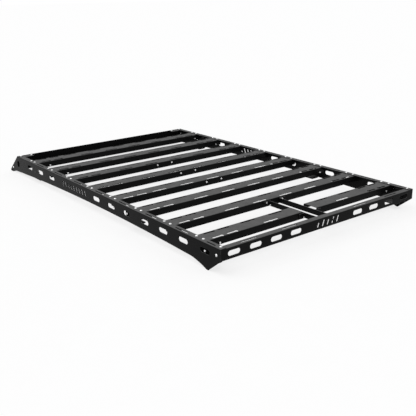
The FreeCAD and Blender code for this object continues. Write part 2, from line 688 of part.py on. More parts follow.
TURNED_BAR = 5
FOOT_BAR = 6
FOOT_BAR_FRONT = f"({bar_place(FOOT_BAR)} + Sizes.bar_width / 2)"
FEET = (
    ("front", f"{FRONT_TOP} - Sizes.front_foot_setback", "Sizes.front_foot_height", "Sizes.end_ear_shift"),
    ("middle", f"{FOOT_BAR_FRONT} + Sizes.middle_foot_setback", "Sizes.middle_foot_height",
     "Sizes.middle_ear_shift"),
    ("rear", f"{REAR} + Sizes.rear_foot_setback", "Sizes.rear_foot_height", "Sizes.end_ear_shift"),
)

pieces = [rear_plate("rear_plate"), front_fairing("front_fairing")]
for number in range(1, BAR_COUNT):
    pieces.append(cross_bar(f"cross_bar_{number}", number, turned=number == TURNED_BAR))
for name, hand in SIDES:
    pieces.append(side_plate(f"{name}_side_plate", hand))
    pieces.append(half_bar(f"cross_bar_{BAR_COUNT}_{name}", BAR_COUNT, hand))
    pieces.append(gap_channel(f"gap_channel_{name}", hand))
    for number in range(1, BAR_COUNT + 1):
        pieces.append(bar_cleat(f"{name}_cleat_{number}", hand, number))
    for place_name, middle, height, ear_shift in FEET:
        pieces.append(foot(f"{name}_{place_name}_foot", hand, middle, height, ear_shift))
        pieces.append(foot_pad(f"{name}_{place_name}_foot_pad", hand, middle, height))

doc.recompute()
for item in doc.Objects:
    if "Invalid" in item.State or "Error" in item.State:
        raise RuntimeError(f"{item.Label}: {item.State}")
for piece in pieces:
    if piece.Shape.isNull() or not piece.Shape.isValid() or len(piece.Shape.Solids) != 1:
        raise RuntimeError(f"{piece.Label} isn't one sound solid")

os.makedirs("parts", exist_ok=True)
for piece in pieces:
    piece.Shape.exportStep(os.path.join("parts", f"{piece.Label}.step"))
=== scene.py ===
import math

import bpy
from bpy.props import FloatProperty, FloatVectorProperty, IntProperty, PointerProperty
from mathutils import Matrix, Vector


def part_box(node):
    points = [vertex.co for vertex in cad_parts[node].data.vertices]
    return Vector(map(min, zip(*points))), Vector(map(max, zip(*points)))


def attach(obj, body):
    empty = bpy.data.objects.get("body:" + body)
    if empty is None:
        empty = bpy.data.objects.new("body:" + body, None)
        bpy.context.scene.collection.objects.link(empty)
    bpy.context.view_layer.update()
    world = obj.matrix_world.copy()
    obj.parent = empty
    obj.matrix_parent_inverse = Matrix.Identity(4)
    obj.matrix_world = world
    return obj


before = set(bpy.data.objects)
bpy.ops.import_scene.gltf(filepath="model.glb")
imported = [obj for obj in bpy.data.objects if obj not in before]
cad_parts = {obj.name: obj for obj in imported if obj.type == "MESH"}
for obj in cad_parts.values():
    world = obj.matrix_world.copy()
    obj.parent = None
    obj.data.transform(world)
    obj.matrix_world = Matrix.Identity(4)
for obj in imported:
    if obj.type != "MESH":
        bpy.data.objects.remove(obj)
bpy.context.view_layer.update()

bl_info = {
    "name": "Roof Rack Dressing",
    "version": (1, 0, 0),
    "blender": (4, 5, 0),
    "location": "3D View > Sidebar > Roof Rack",
    "description": "Coat, rubber, fasteners and studio for a flat platform roof rack",
    "category": "Object",
}

BODY = "root"
LEFT, RIGHT = -1, 1
HANDS = (LEFT, RIGHT)
WHOLE_BARS = [f"cross_bar_{number}" for number in range(1, 8)]
HALF_BAR = "cross_bar_8_left"
BARS_WITH_MIDDLE_BOLTS = WHOLE_BARS[2:5]
BARS_WITH_LEFT_BOLTS = (*WHOLE_BARS[:2], HALF_BAR)
BARS_WITH_RIGHT_BOLTS = (*WHOLE_BARS[:2], WHOLE_BARS[5], HALF_BAR)
PADS = [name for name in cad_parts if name.endswith("_foot_pad")]
SHEET_PIECES = [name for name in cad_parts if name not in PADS]

# Directions, the thickness of the side plates' sheet, and places from the frame.
UP = Vector((0, 0, 1))
REARWARD = Vector((0, -1, 0))
SIDEWARD = Vector((1, 0, 0))
GAUGE = 0.003
RAIL_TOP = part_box("left_side_plate")[1].z
BAR_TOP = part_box(HALF_BAR)[1].z
OUTER_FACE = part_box("right_side_plate")[1].x
REAR_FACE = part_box("rear_plate")[0].y
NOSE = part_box("front_fairing")[1].y
HALF_BAR_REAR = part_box(HALF_BAR)[0].y
GAP_LOW, GAP_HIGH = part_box("gap_channel_right")

# Steps of the round shapes.
GROMMET_STEPS = 14
DOME_SEGMENTS, DOME_RINGS = 24, 12
DISC_SEGMENTS = 28
SHARP_ANGLE = math.radians(35)

# Shares of a fastener's own sizes.
SOCKET_DEPTH_SHARE = 0.6
FLANGE_TOP_SHARE = 0.8
CHAMFER_START_SHARE = 0.82
CHAMFER_TOP_SHARE = 0.86

# Make-up of the finishes.
CELLS_PER_GRAIN = 0.7
FINE_HEIGHT, CELL_HEIGHT = 0.6, 0.7
# Share of the pale edge colour along edges, which is partly thin coat and partly painted highlight.
THIN_EDGE_AND_HIGHLIGHT_SHARE = 0.8
COAT_GLOSS_SPREAD = 0.05

SENSOR_WIDTH_MM = 36.0
WHITE = (1.0, 1.0, 1.0)


class RackFinishSettings(bpy.types.PropertyGroup):
    """Colours, gloss and grain of the coat, the rubber and the fasteners"""

    coat_color: FloatVectorProperty(
        name="Coat Color", description="Body colour of the satin powder coat",
        subtype="COLOR", min=0, max=1, default=(0.0048, 0.0048, 0.005))
    coat_light_color: FloatVectorProperty(
        name="Coat Light Color", description="Paler colour that the coat drifts to in broad patches",
        subtype="COLOR", min=0, max=1, default=(0.0067, 0.0067, 0.0069))
    # Painted shade: this colour darkens the coat on faces that look down, in place of the shade that falls
    # there.
    coat_underside_shade_color: FloatVectorProperty(
        name="Coat Underside Shade Color", description="Colour of the thin dull coat on faces that look down",
        subtype="COLOR", min=0, max=1, default=(0.003, 0.003, 0.0031))
    # Partly thin coat, partly painted highlight: this pale colour along edges stands in for the bright line
    # that folded edges catch.
    coat_edge_and_highlight_color: FloatVectorProperty(
        name="Coat Edge And Highlight Color", description="Colour of the thin coat along folded and cut edges",
        subtype="COLOR", min=0, max=1, default=(0.12, 0.12, 0.122))
    coat_roughness: FloatProperty(
        name="Coat Roughness", description="Middle roughness of the coat",
        subtype="FACTOR", min=0, max=1, default=0.27)
    coat_specular: FloatProperty(
        name="Coat Specular", description="Mirror strength of the coat seen straight on",
        subtype="FACTOR", min=0, max=1, default=0.036)
    coat_grain: FloatProperty(
        name="Coat Grain", description="Width of one dimple in the coat's orange peel",
        subtype="DISTANCE", unit="LENGTH", min=0.0001, default=0.0016)
    coat_edge: FloatProperty(
        name="Coat Edge", description="Width of the softened edge of the sheet",
        subtype="DISTANCE", unit="LENGTH", min=0, default=0.002)
    # Partly dust, partly painted sheen: this share lightens faces that look up, in place of the bright
    # grazing reflection on them.
    coat_dust_and_sheen: FloatProperty(
        name="Coat Dust And Sheen", description="Share of the dust film in the coat's colour on faces that look up",
        subtype="FACTOR", min=0, max=1, default=0.6)
    # Colour of that film on faces that look up, which is partly dust and partly painted sheen.
    dust_and_sheen_color: FloatVectorProperty(
        name="Dust And Sheen Color", description="Colour of the faint dust on faces that look up",
        subtype="COLOR", min=0, max=1, default=(0.2, 0.2, 0.2))
    rubber_color: FloatVectorProperty(
        name="Rubber Color", description="Colour of the foot pads",
        subtype="COLOR", min=0, max=1, default=(0.014, 0.014, 0.014))
    rubber_grain: FloatProperty(
        name="Rubber Grain", description="Width of one pip in the rubber's moulded stipple",
        subtype="DISTANCE", unit="LENGTH", min=0.0001, default=0.0011)
    grommet_color: FloatVectorProperty(
        name="Grommet Color", description="Colour of the soft black grommets",
        subtype="COLOR", min=0, max=1, default=(0.0022, 0.0022, 0.0022))
    plating_color: FloatVectorProperty(
        name="Plating Color", description="Colour of the bright plated screws",
        subtype="COLOR", min=0, max=1, default=(0.9, 0.905, 0.91))
    plating_dull_color: FloatVectorProperty(
        name="Plating Dull Color", description="Colour of the plating where it has dulled",
        subtype="COLOR", min=0, max=1, default=(0.7, 0.7, 0.695))
    black_bolt_color: FloatVectorProperty(
        name="Black Bolt Color", description="Colour of the blackened foot bolts",
        subtype="COLOR", min=0, max=1, default=(0.016, 0.016, 0.018))


class RackFastenerSettings(bpy.types.PropertyGroup):
    """Sizes and places of the screws, bolts and grommets"""

    screw_head: FloatProperty(
        name="Screw Head", description="Radius of the domed screw head",
        subtype="DISTANCE", unit="LENGTH", min=0.001, default=0.0054)
    screw_height: FloatProperty(
        name="Screw Height", description="Height of the domed screw head",
        subtype="DISTANCE", unit="LENGTH", min=0.0005, default=0.0036)
    screw_socket: FloatProperty(
        name="Screw Socket", description="Radius of the six-sided socket, across its corners",
        subtype="DISTANCE", unit="LENGTH", min=0.0005, default=0.0024)
    screw_washer: FloatProperty(
        name="Screw Washer", description="Radius of the washer below the head",
        subtype="DISTANCE", unit="LENGTH", min=0.001, default=0.0068)
    washer_thickness: FloatProperty(
        name="Washer Thickness", description="Thickness of the washer",
        subtype="DISTANCE", unit="LENGTH", min=0.0002, default=0.0012)
    bolt_head: FloatProperty(
        name="Bolt Head", description="Radius of the six-sided bolt head, across its corners",
        subtype="DISTANCE", unit="LENGTH", min=0.001, default=0.0045)
    bolt_height: FloatProperty(
        name="Bolt Height", description="Height of the bolt head above its flange",
        subtype="DISTANCE", unit="LENGTH", min=0.0005, default=0.0024)
    bolt_flange: FloatProperty(
        name="Bolt Flange", description="Radius of the flange below the bolt head",
        subtype="DISTANCE", unit="LENGTH", min=0.001, default=0.0052)
    flange_height: FloatProperty(
        name="Flange Height", description="Height of the bolt's flange",
        subtype="DISTANCE", unit="LENGTH", min=0.0002, default=0.0009)
    rail_inset: FloatProperty(
        name="Rail Inset", description="Distance of the rail screws from the rack's outer face",
        subtype="DISTANCE", unit="LENGTH", min=0, default=0.021)
    rail_half_pitch: FloatProperty(
        name="Rail Half Pitch", description="Distance of each rail screw from its bar's middle line",
        subtype="DISTANCE", unit="LENGTH", min=0, default=0.025)
    rail_end_inset: FloatProperty(
        name="Rail End Inset", description="Distance of the rearmost rail screw from the rear face",
        subtype="DISTANCE", unit="LENGTH", min=0, default=0.022)
    tab_screw_setback: FloatProperty(
        name="Tab Screw Setback", description="Distance of the fairing's tab screws behind the nose",
        subtype="DISTANCE", unit="LENGTH", min=0, default=0.153)
    tab_screw_pitch: FloatProperty(
        name="Tab Screw Pitch", description="Distance between the two screws of each tab",
        subtype="DISTANCE", unit="LENGTH", min=0, default=0.073)
    nose_screw_setback: FloatProperty(
        name="Nose Screw Setback", description="Distance of the front side screws behind the nose",
        subtype="DISTANCE", unit="LENGTH", min=0, default=0.053)
    nose_screw_height: FloatProperty(
        name="Nose Screw Height", description="Height of the front side screws",
        subtype="DISTANCE", unit="LENGTH", min=0, default=0.0335)
    side_screw_drop: FloatProperty(
        name="Side Screw Drop", description="Distance of the rear side screws below the rail",
        subtype="DISTANCE", unit="LENGTH", min=0, default=0.034)
    side_screw_inset: FloatProperty(
        name="Side Screw Inset", description="Distance of the rear side screws from the rear face",
        subtype="DISTANCE", unit="LENGTH", min=0, default=0.026)
    middle_bolt_reach: FloatProperty(
        name="Middle Bolt Reach", description="Distance of a bar's middle bolts from the centre line",
        subtype="DISTANCE", unit="LENGTH", min=0, default=0.055)
    middle_bolt_drop: FloatProperty(
        name="Middle Bolt Drop", description="Distance of a bar's middle bolts below its top",
        subtype="DISTANCE", unit="LENGTH", min=0, default=0.0147)
    left_bolt_reach: FloatProperty(
        name="Left Bolt Reach", description="Distance of the left end bolts from the centre line",
        subtype="DISTANCE", unit="LENGTH", min=0, default=0.558)
    right_bolt_reach: FloatProperty(
        name="Right Bolt Reach", description="Distance of the right end bolts from the centre line",
        subtype="DISTANCE", unit="LENGTH", min=0, default=0.629)
    half_bolt_shift: FloatProperty(
        name="Half Bolt Shift", description="Distance that the half bars' end bolts sit further left",
        subtype="DISTANCE", unit="LENGTH", default=0.018)
    end_bolt_drop: FloatProperty(
        name="End Bolt Drop", description="Distance of a bar's end bolts below its top",
        subtype="DISTANCE", unit="LENGTH", min=0, default=0.028)
    gap_bolt_drop: FloatProperty(
        name="Gap Bolt Drop", description="Distance of the gap channels' wall bolts below the bars' tops",
        subtype="DISTANCE", unit="LENGTH", min=0, default=0.0295)
    gap_bolt_inset: FloatProperty(
        name="Gap Bolt Inset", description="Distance of those wall bolts from the nearest tab",
        subtype="DISTANCE", unit="LENGTH", min=0, default=0.0095)
    inner_bolt_reach: FloatProperty(
        name="Inner Bolt Reach", description="Distance of the half bars' inner bolts from the centre line",
        subtype="DISTANCE", unit="LENGTH", min=0, default=0.0437)
    nose_bolt_setback: FloatProperty(
        name="Nose Bolt Setback", description="Distance of the nose bolts and grommets behind the nose",
        subtype="DISTANCE", unit="LENGTH", min=0, default=0.145)
    nose_bolt_height: FloatProperty(
        name="Nose Bolt Height", description="Height of the nose bolts on the insides of the side plates",
        subtype="DISTANCE", unit="LENGTH", min=0, default=0.09)
    foot_bolt_height: FloatProperty(
        name="Foot Bolt Height", description="Height of the foot bolts in the side slots",
        subtype="DISTANCE", unit="LENGTH", min=0, default=0.086)
    middle_foot_shift: FloatProperty(
        name="Middle Foot Shift",
        description="Distance of a middle foot's bolt in front of the foot's middle",
        subtype="DISTANCE", unit="LENGTH", default=0.031)
    front_foot_bolt_height: FloatProperty(
        name="Front Foot Bolt Height", description="Height of the black bolts of the front feet",
        subtype="DISTANCE", unit="LENGTH", min=0, default=0.07)
    slot_grommet_length: FloatProperty(
        name="Slot Grommet Length", description="Length of the grommet in a rearmost side slot",
        subtype="DISTANCE", unit="LENGTH", min=0.005, default=0.068)
    middle_grommet_length: FloatProperty(
        name="Middle Grommet Length", description="Length of the grommet under a middle foot's bolt",
        subtype="DISTANCE", unit="LENGTH", min=0.005, default=0.026)
    slot_grommet_width: FloatProperty(
        name="Slot Grommet Width", description="Width of the grommets in the side slots",
        subtype="DISTANCE", unit="LENGTH", min=0.005, default=0.023)
    nose_grommet_length: FloatProperty(
        name="Nose Grommet Length", description="Height of the upright grommet near the nose",
        subtype="DISTANCE", unit="LENGTH", min=0.005, default=0.04)
    nose_grommet_height: FloatProperty(
        name="Nose Grommet Height", description="Height of the middle of the upright grommet near the nose",
        subtype="DISTANCE", unit="LENGTH", min=0, default=0.0725)
    grommet_thickness: FloatProperty(
        name="Grommet Thickness", description="Thickness of the grommets",
        subtype="DISTANCE", unit="LENGTH", min=0.0005, default=0.002)
    spin_seed: IntProperty(
        name="Spin Seed", description="Seed of the turn that each screw head was left at", default=7)


class RackStageSettings(bpy.types.PropertyGroup):
    """Floor, light and camera of the studio"""

    floor_color: FloatVectorProperty(
        name="Floor Color", description="Colour of the studio floor",
        subtype="COLOR", min=0, max=1, default=(0.91, 0.91, 0.915))
    floor_white: FloatProperty(
        name="Floor White", description="Share of plain white in the floor that camera and mirror rays see",
        subtype="FACTOR", min=0, max=1, default=0.76)
    floor_reach: FloatProperty(
        name="Floor Reach", description="Distance from the rack to the edge of the floor",
        subtype="DISTANCE", unit="LENGTH", min=1, default=60)
    sky_light: FloatProperty(
        name="Sky Light", description="Strength of the even light from all round",
        min=0, default=0.68)
    key_strength: FloatProperty(
        name="Key Strength", description="Strength of the broad light from the front left",
        min=0, default=1.25)
    key_toward: FloatVectorProperty(
        name="Key Toward", description="Direction from the rack towards the broad light",
        subtype="XYZ", default=(-0.45, 0.25, 1.0))
    key_spread: FloatProperty(
        name="Key Spread", description="Angle that the broad light spans, seen from the rack",
        subtype="ANGLE", unit="ROTATION", min=0, default=math.radians(55))
    camera_place: FloatVectorProperty(
        name="Camera Place", description="Place of the camera",
        subtype="XYZ", unit="LENGTH", default=(-2.2716, -3.1255, 1.1692))
    camera_azimuth: FloatProperty(
        name="Camera Azimuth",
        description="Turn of the camera about the upright axis, from straight behind",
        subtype="ANGLE", unit="ROTATION", default=math.radians(-37.83))
    camera_elevation: FloatProperty(
        name="Camera Elevation", description="Angle that the camera looks down at",
        subtype="ANGLE", unit="ROTATION", default=math.radians(18.65))
    camera_roll: FloatProperty(
        name="Camera Roll", description="Turn of the camera about its own line of sight",
        subtype="ANGLE", unit="ROTATION", default=math.radians(-0.93))
    camera_lens: FloatProperty(
        name="Camera Lens", description="Focal length of the camera",
        subtype="DISTANCE_CAMERA", unit="CAMERA", min=1, default=56.13)


class NodeBench:
    """Adds nodes to one node tree and joins their sockets."""

    def __init__(self, tree):
        self.tree = tree

    def add(self, kind, sockets=None, **settings):
        node = self.tree.nodes.new(kind)
        for name, setting in settings.items():
            setattr(node, name, setting)
        for socket, source in (sockets or {}).items():
            self.join(source, node.inputs[socket])
        return node

    def join(self, source, socket):
        if isinstance(source, bpy.types.NodeSocket):
            self.tree.links.new(source, socket)
        else:
            socket.default_value = source

    def math(self, operation, first, second=0.0):
        return self.add("ShaderNodeMath", {0: first, 1: second}, operation=operation).outputs[0]

    def ramp(self, source, low, high, to_low=0.0, to_high=1.0):
        span = {"Value": source, "From Min": low, "From Max": high, "To Min": to_low, "To Max": to_high}
        return self.add("ShaderNodeMapRange", span, clamp=True).outputs["Result"]

    def mix(self, factor, first, second):
        node = self.add("ShaderNodeMix", data_type="RGBA")
        self.join(factor, node.inputs["Factor"])
        colors = [socket for socket in node.inputs if socket.type == "RGBA"]
        self.join(first, colors[0])
        self.join(second, colors[1])
        return next(socket for socket in node.outputs if socket.type == "RGBA")


def rgba(color):
    return (*color, 1.0)


def shader_group(name, inputs, outputs):
    """An empty shader node group with its named sockets, as (tree, bench, input node)."""
    tree = bpy.data.node_groups.new(name, "ShaderNodeTree")
    tree.interface.new_socket("Vector", in_out="INPUT", socket_type="NodeSocketVector")
    for label, default in inputs.items():
        socket = tree.interface.new_socket(label, in_out="INPUT", socket_type="NodeSocketFloat")
        socket.default_value = default
    for label, kind in outputs.items():
        tree.interface.new_socket(label, in_out="OUTPUT", socket_type=kind)
    bench = NodeBench(tree)
    return tree, bench, bench.add("NodeGroupInput")


def grain_group():
    """Dimples of a sprayed or moulded skin, with broad mottling."""
    tree, bench, given = shader_group(
        "Skin Grain", {"Grain Size": 0.001}, {"Height": "NodeSocketFloat", "Mottle": "NodeSocketFloat"})
    fine_scale = bench.math("DIVIDE", 1.0, given.outputs["Grain Size"])
    cell_scale = bench.math("DIVIDE", CELLS_PER_GRAIN, given.outputs["Grain Size"])
    fine = bench.add("ShaderNodeTexNoise", {
        "Vector": given.outputs["Vector"], "Scale": fine_scale, "Detail": 2.0})
    cells = bench.add("ShaderNodeTexVoronoi", {
        "Vector": given.outputs["Vector"], "Scale": cell_scale}, feature="SMOOTH_F1")
    broad = bench.add("ShaderNodeTexNoise", {
        "Vector": given.outputs["Vector"], "Scale": 9.0, "Detail": 5.0, "Roughness": 0.6})
    height = bench.math("ADD", bench.math("MULTIPLY", fine.outputs[0], FINE_HEIGHT),
                        bench.math("MULTIPLY", cells.outputs["Distance"], CELL_HEIGHT))
    bench.add("NodeGroupOutput", {
        "Height": height, "Mottle": bench.ramp(broad.outputs[0], low=0.3, high=0.7)})
    return tree


def edge_group():
    """Softened edges: a normal that rounds them, and a broken mask along them."""
    tree, bench, given = shader_group(
        "Soft Edge", {"Width": 0.001, "Breakup": 60.0},
        {"Mask": "NodeSocketFloat", "Normal": "NodeSocketVector"})
    rounded = bench.add("ShaderNodeBevel", {"Radius": given.outputs["Width"]}, samples=6)
    surface = bench.add("ShaderNodeNewGeometry")
    agreement = bench.add("ShaderNodeVectorMath", {
        0: rounded.outputs["Normal"], 1: surface.outputs["Normal"]}, operation="DOT_PRODUCT")
    breakup = bench.add("ShaderNodeTexNoise", {
        "Vector": given.outputs["Vector"], "Scale": given.outputs["Breakup"], "Detail": 4.0})
    edge = bench.ramp(agreement.outputs["Value"], low=0.995, high=0.8)
    broken = bench.ramp(breakup.outputs[0], low=0.35, high=0.65, to_low=0.35)
    bench.add("NodeGroupOutput", {
        "Mask": bench.math("MULTIPLY", edge, broken), "Normal": rounded.outputs["Normal"]})
    return tree


def dust_sheen_and_shade_group():
    """Film on faces that look up, thicker in patches, partly dust and partly painted sheen; and a mask of
    faces that look down, for painted shade and a duller coat.
    """
    tree, bench, given = shader_group(
        "Dust Sheen And Underside Shade", {"Amount": 0.1}, {"Mask": "NodeSocketFloat", "Underside Shade And Dullness": "NodeSocketFloat"})
    surface = bench.add("ShaderNodeNewGeometry")
    facing = bench.add("ShaderNodeSeparateXYZ", {"Vector": surface.outputs["Normal"]})
    patches = bench.add("ShaderNodeTexNoise", {
        "Vector": given.outputs["Vector"], "Scale": 26.0, "Detail": 6.0, "Roughness": 0.65})
    # The film on faces that look up is partly dust and partly painted sheen.
    dust_and_sheen_film = bench.math("MULTIPLY", bench.ramp(facing.outputs["Z"], low=0.55, high=0.95),
                         bench.ramp(patches.outputs[0], low=0.3, high=0.7, to_low=0.7))
    # The second output marks faces that look down: the coat takes painted shade from it in its colour, and
    # a duller coat in its roughness.
    bench.add("NodeGroupOutput", {
        "Mask": bench.math("MULTIPLY", dust_and_sheen_film, given.outputs["Amount"]),
        "Underside Shade And Dullness": bench.ramp(facing.outputs["Z"], low=-0.15, high=-0.5)})
    return tree


GROUP_MAKERS = {"Skin Grain": grain_group, "Soft Edge": edge_group, "Dust Sheen And Underside Shade": dust_sheen_and_shade_group}


def effect(bench, name, **values):
    """One of the shared effects, placed in a material with its own values."""
    tree = bpy.data.node_groups.get(name) or GROUP_MAKERS[name]()
    node = bench.add("ShaderNodeGroup", node_tree=tree)
    place = bench.add("ShaderNodeTexCoord")
    bench.join(place.outputs["Object"], node.inputs["Vector"])
    for label, setting in values.items():
        node.inputs[label.replace("_", " ")].default_value = setting
    return node


def new_material(name):
    """A material with an empty node tree, as (material, bench, shader)."""
    material = bpy.data.materials.new(name)
    material.use_nodes = True
    material.node_tree.nodes.clear()
    bench = NodeBench(material.node_tree)
    shader = bench.add("ShaderNodeBsdfPrincipled")
    bench.add("ShaderNodeOutputMaterial", {"Surface": shader.outputs["BSDF"]})
    return material, bench, shader


def paler(color, times):
    """The colour, lightened by a factor."""
    return [min(1.0, channel * times) for channel in color]


def mottled(bench, grain, first, second):
    """A colour that drifts from the first to the second in the grain's broad patches."""
    return bench.mix(grain.outputs["Mottle"], rgba(first), rgba(second))


def mottled_gloss(bench, grain, low, high):
    """A roughness that drifts from low to high in the grain's broad patches."""
    return bench.ramp(grain.outputs["Mottle"], 0.0, 1.0, low, high)


def emboss(bench, shader, grain, strength, depth, edge=None):
    """Presses the grain into the shader's normal, over the softened edge where there is one."""
    sockets = {"Strength": strength, "Distance": depth, "Height": grain.outputs["Height"]}
    if edge:
        sockets["Normal"] = edge.outputs["Normal"]
    bump = bench.add("ShaderNodeBump", sockets)
    bench.join(bump.outputs["Normal"], shader.inputs["Normal"])


def coat_material(finish):
    """Satin black powder coat: orange peel, paler edges that are partly thin coat and partly painted
    highlight, a film on faces that look up that is partly dust and partly painted sheen, and dull
    undersides darkened with painted shade.
    """
    material, bench, shader = new_material("satin_powder_coat")
    grain = effect(bench, "Skin Grain", Grain_Size=finish.coat_grain)
    edge = effect(bench, "Soft Edge", Width=finish.coat_edge, Breakup=45.0)
    dust_sheen_and_shade = effect(bench, "Dust Sheen And Underside Shade", Amount=finish.coat_dust_and_sheen)
    body = mottled(bench, grain, finish.coat_color, finish.coat_light_color)
    # Painted highlight: edges are lightened towards the edge colour, partly for the thinner coat there and
    # partly for the light that the folds catch.
    thin_edge_and_highlight = bench.math("MULTIPLY", edge.outputs["Mask"], THIN_EDGE_AND_HIGHLIGHT_SHARE)
    edged_and_highlighted = bench.mix(thin_edge_and_highlight, body, rgba(finish.coat_edge_and_highlight_color))
    # Faces that look up are lightened towards this colour: partly dust, partly painted sheen.
    dusted_and_sheened = bench.mix(dust_sheen_and_shade.outputs["Mask"], edged_and_highlighted, rgba(finish.dust_and_sheen_color))
    # Painted shade: faces that look down are darkened towards the underside shade colour. The same mask
    # also makes the coat there duller.
    underside_shaded = bench.mix(dust_sheen_and_shade.outputs["Underside Shade And Dullness"], dusted_and_sheened, rgba(finish.coat_underside_shade_color))
    bench.join(underside_shaded, shader.inputs["Base Color"])
    gloss = mottled_gloss(bench, grain, low=finish.coat_roughness - COAT_GLOSS_SPREAD,
                          high=finish.coat_roughness + COAT_GLOSS_SPREAD)
    dulled = bench.math("ADD", gloss, dust_sheen_and_shade.outputs["Mask"])
    bench.join(bench.math("MAXIMUM", dulled, dust_sheen_and_shade.outputs["Underside Shade And Dullness"]), shader.inputs["Roughness"])
    shader.inputs["Specular IOR Level"].default_value = finish.coat_specular
    emboss(bench, shader, grain, strength=0.25, depth=0.0003, edge=edge)
    return material


def rubber_material(finish):
    """Dull moulded rubber with a fine stipple."""
    material, bench, shader = new_material("moulded_rubber")
    grain = effect(bench, "Skin Grain", Grain_Size=finish.rubber_grain)
    dust_sheen_and_shade = effect(bench, "Dust Sheen And Underside Shade", Amount=0.12)
    body = mottled(bench, grain, finish.rubber_color, paler(finish.rubber_color, times=1.8))
    # Faces that look up are lightened towards the same colour: partly dust, partly painted sheen.
    dusted_and_sheened = bench.mix(dust_sheen_and_shade.outputs["Mask"], body, rgba(finish.dust_and_sheen_color))
    bench.join(dusted_and_sheened, shader.inputs["Base Color"])
    bench.join(mottled_gloss(bench, grain, low=0.7, high=0.85), shader.inputs["Roughness"])
    shader.inputs["Specular IOR Level"].default_value = 0.3
    emboss(bench, shader, grain, strength=0.5, depth=0.0003)
    return material


def grommet_material(finish):
    """Soft dull black rubber."""
    material, bench, shader = new_material("soft_black_rubber")
    grain = effect(bench, "Skin Grain", Grain_Size=finish.rubber_grain)
    body = mottled(bench, grain, finish.grommet_color, paler(finish.grommet_color, times=1.5))
    bench.join(body, shader.inputs["Base Color"])
    shader.inputs["Roughness"].default_value = 0.9
    shader.inputs["Specular IOR Level"].default_value = 0.0
    emboss(bench, shader, grain, strength=0.3, depth=0.0003)
    return material


def plating_material(finish):
    """Bright zinc plating, a little dull in patches."""
    material, bench, shader = new_material("bright_zinc_plating")
    grain = effect(bench, "Skin Grain", Grain_Size=0.0007)
    edge = effect(bench, "Soft Edge", Width=0.0004, Breakup=400.0)
    body = mottled(bench, grain, finish.plating_color, finish.plating_dull_color)
    polished = bench.mix(edge.outputs["Mask"], body, rgba(finish.plating_color))
    bench.join(polished, shader.inputs["Base Color"])
    bench.join(mottled_gloss(bench, grain, low=0.24, high=0.38), shader.inputs["Roughness"])
    shader.inputs["Metallic"].default_value = 1.0
    emboss(bench, shader, grain, strength=0.15, depth=0.0001, edge=edge)
    return material


def black_bolt_material(finish):
    """Blackened steel with paler corners, partly wear and partly painted highlight."""
    material, bench, shader = new_material("blackened_steel")
    grain = effect(bench, "Skin Grain", Grain_Size=0.0006)
    edge = effect(bench, "Soft Edge", Width=0.0004, Breakup=300.0)
    body = mottled(bench, grain, finish.black_bolt_color, paler(finish.black_bolt_color, times=2.0))
    # Painted highlight on the corners, partly also wear: the same pale edge colour as the coat's.
    edged_and_highlighted = bench.mix(edge.outputs["Mask"], body, rgba(finish.coat_edge_and_highlight_color))
    bench.join(edged_and_highlighted, shader.inputs["Base Color"])
    bench.join(mottled_gloss(bench, grain, low=0.3, high=0.42), shader.inputs["Roughness"])
    emboss(bench, shader, grain, strength=0.2, depth=0.0001, edge=edge)
    return material


MATERIAL_MAKERS = {
    "satin_powder_coat": coat_material,
    "moulded_rubber": rubber_material,
    "soft_black_rubber": grommet_material,
    "bright_zinc_plating": plating_material,
    "blackened_steel": black_bolt_material,
}


def finish_material(context, name):
    """The named finish, made the first time that it is asked for."""
    return bpy.data.materials.get(name) or MATERIAL_MAKERS[name](context.scene.rack_finish)


def wear_finish(context, nodes, name):
    """Gives CAD nodes one of the finishes."""
    material = finish_material(context, name)
    for node in nodes:
        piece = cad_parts[node]
        piece.data.materials.clear()
        piece.data.materials.append(material)


def fastener_tree(name, sizes):
    """A geometry node group that will set one fastener on each point, as (tree, bench, input node)."""
    tree = bpy.data.node_groups.new(name, "GeometryNodeTree")
    tree.interface.new_socket("Places", in_out="INPUT", socket_type="NodeSocketGeometry")
    for label in sizes:
        socket = tree.interface.new_socket(label, in_out="INPUT", socket_type="NodeSocketFloat")
        socket.subtype = "DISTANCE"
    tree.interface.new_socket("Spin Seed", in_out="INPUT", socket_type="NodeSocketInt")
    tree.interface.new_socket("Finish", in_out="INPUT", socket_type="NodeSocketMaterial")
    tree.interface.new_socket("Fasteners", in_out="OUTPUT", socket_type="NodeSocketGeometry")
    bench = NodeBench(tree)
    return tree, bench, bench.add("NodeGroupInput")


def raised(bench, geometry, height):
    """The geometry, moved up its own axis."""
    shift = bench.add("ShaderNodeCombineXYZ", {"Z": height})
    return bench.add("GeometryNodeTransform", {
        "Geometry": geometry, "Translation": shift.outputs["Vector"]}).outputs["Geometry"]


